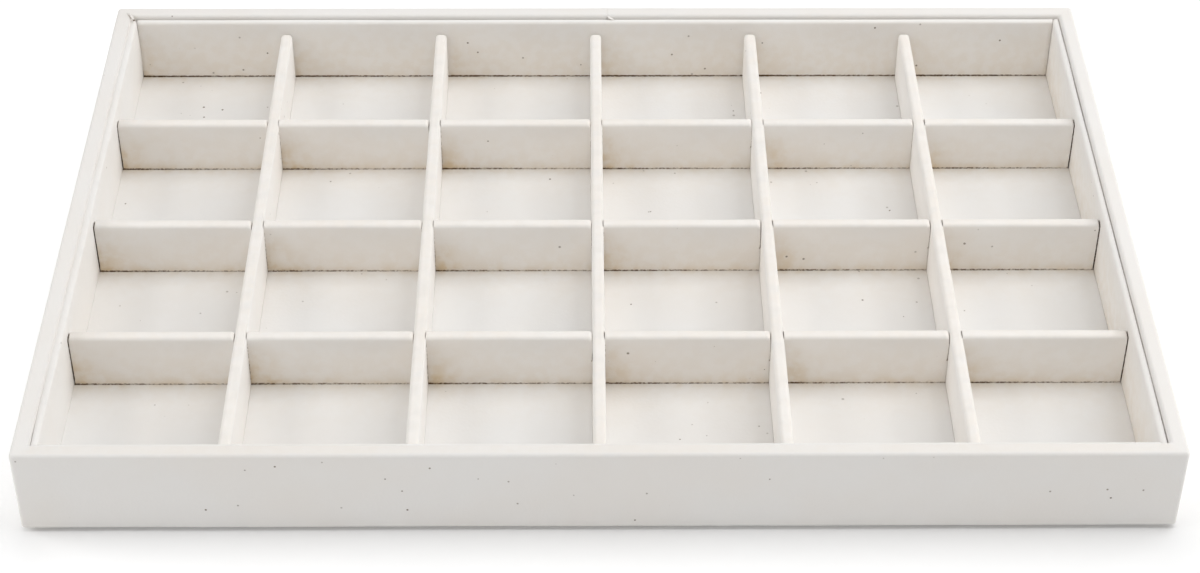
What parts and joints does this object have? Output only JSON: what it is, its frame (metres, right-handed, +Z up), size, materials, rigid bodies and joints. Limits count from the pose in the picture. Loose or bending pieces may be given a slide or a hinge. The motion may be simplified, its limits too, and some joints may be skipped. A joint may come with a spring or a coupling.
{
  "type": "stackable jewelry tray",
  "caption": "Low rectangular leatherette-covered display tray with a thin inner liner, a padded floor and a lift-out lattice of half-lapped dividers forming equal compartments.",
  "frame": {"origin": "middle of the raised underside panel, in the plane that the tray stands on", "axes": "+X to the right along the long side, +Y to the back, +Z up out of the open top"},
  "size_m": [0.35, 0.24, 0.0312],
  "materials": {
    "outer_leatherette": "off-white leatherette with a fine pebble grain and a low sheen",
    "liner_leatherette": "the same off-white leatherette, folded over the liner cards",
    "floor_leatherette": "the same off-white leatherette, flat on the floor pad",
    "divider_leatherette": "the same off-white leatherette, folded over the dividers",
    "underside_leatherette": "off-white leatherette, rubbed a little on the standing face",
    "wall_fibreboard": "bare medium density fibreboard",
    "divider_fibreboard": "bare medium density fibreboard, sawn notches",
    "greyboard": "plain grey card"
  },
  "bodies": {
    "tray": {"front_wall_board": "wall_fibreboard", "back_wall_board": "wall_fibreboard", "left_wall_board": "wall_fibreboard", "right_wall_board": "wall_fibreboard", "base_board": "wall_fibreboard", "outer_wrap": "outer_leatherette", "underside_board": "greyboard", "underside_cover": "underside_leatherette", "floor_board": "greyboard", "floor_cover": "floor_leatherette", "front_liner_board": "greyboard", "front_liner_cover": "liner_leatherette", "back_liner_board": "greyboard", "back_liner_cover": "liner_leatherette", "left_liner_board": "greyboard", "left_liner_cover": "liner_leatherette", "right_liner_board": "greyboard", "right_liner_cover": "liner_leatherette"},
    "row_divider_1": {"row_divider_1_board": "divider_fibreboard", "row_divider_1_cover": "divider_leatherette"},
    "row_divider_2": {"row_divider_2_board": "divider_fibreboard", "row_divider_2_cover": "divider_leatherette"},
    "row_divider_3": {"row_divider_3_board": "divider_fibreboard", "row_divider_3_cover": "divider_leatherette"},
    "column_divider_1": {"column_divider_1_board": "divider_fibreboard", "column_divider_1_cover": "divider_leatherette"},
    "column_divider_2": {"column_divider_2_board": "divider_fibreboard", "column_divider_2_cover": "divider_leatherette"},
    "column_divider_3": {"column_divider_3_board": "divider_fibreboard", "column_divider_3_cover": "divider_leatherette"},
    "column_divider_4": {"column_divider_4_board": "divider_fibreboard", "column_divider_4_cover": "divider_leatherette"},
    "column_divider_5": {"column_divider_5_board": "divider_fibreboard", "column_divider_5_cover": "divider_leatherette"}
  },
  "joints": [
    {"name": "row_divider_1_lift", "type": "slide", "parent": "tray", "child": "row_divider_1", "axis": [0, 0, 1], "range_m": [0, 0.03]},
    {"name": "row_divider_2_lift", "type": "slide", "parent": "tray", "child": "row_divider_2", "axis": [0, 0, 1], "range_m": [0, 0.03]},
    {"name": "row_divider_3_lift", "type": "slide", "parent": "tray", "child": "row_divider_3", "axis": [0, 0, 1], "range_m": [0, 0.03]},
    {"name": "column_divider_1_lift", "type": "slide", "parent": "row_divider_2", "child": "column_divider_1", "axis": [0, 0, 1], "range_m": [0, 0.03]},
    {"name": "column_divider_2_lift", "type": "slide", "parent": "row_divider_2", "child": "column_divider_2", "axis": [0, 0, 1], "range_m": [0, 0.03]},
    {"name": "column_divider_3_lift", "type": "slide", "parent": "row_divider_2", "child": "column_divider_3", "axis": [0, 0, 1], "range_m": [0, 0.03]},
    {"name": "column_divider_4_lift", "type": "slide", "parent": "row_divider_2", "child": "column_divider_4", "axis": [0, 0, 1], "range_m": [0, 0.03]},
    {"name": "column_divider_5_lift", "type": "slide", "parent": "row_divider_2", "child": "column_divider_5", "axis": [0, 0, 1], "range_m": [0, 0.03]}
  ],
  "couplings": [
    {"joint": "row_divider_1_lift", "follows": "row_divider_2_lift", "ratio": 1},
    {"joint": "row_divider_3_lift", "follows": "row_divider_2_lift", "ratio": 1}
  ]
}
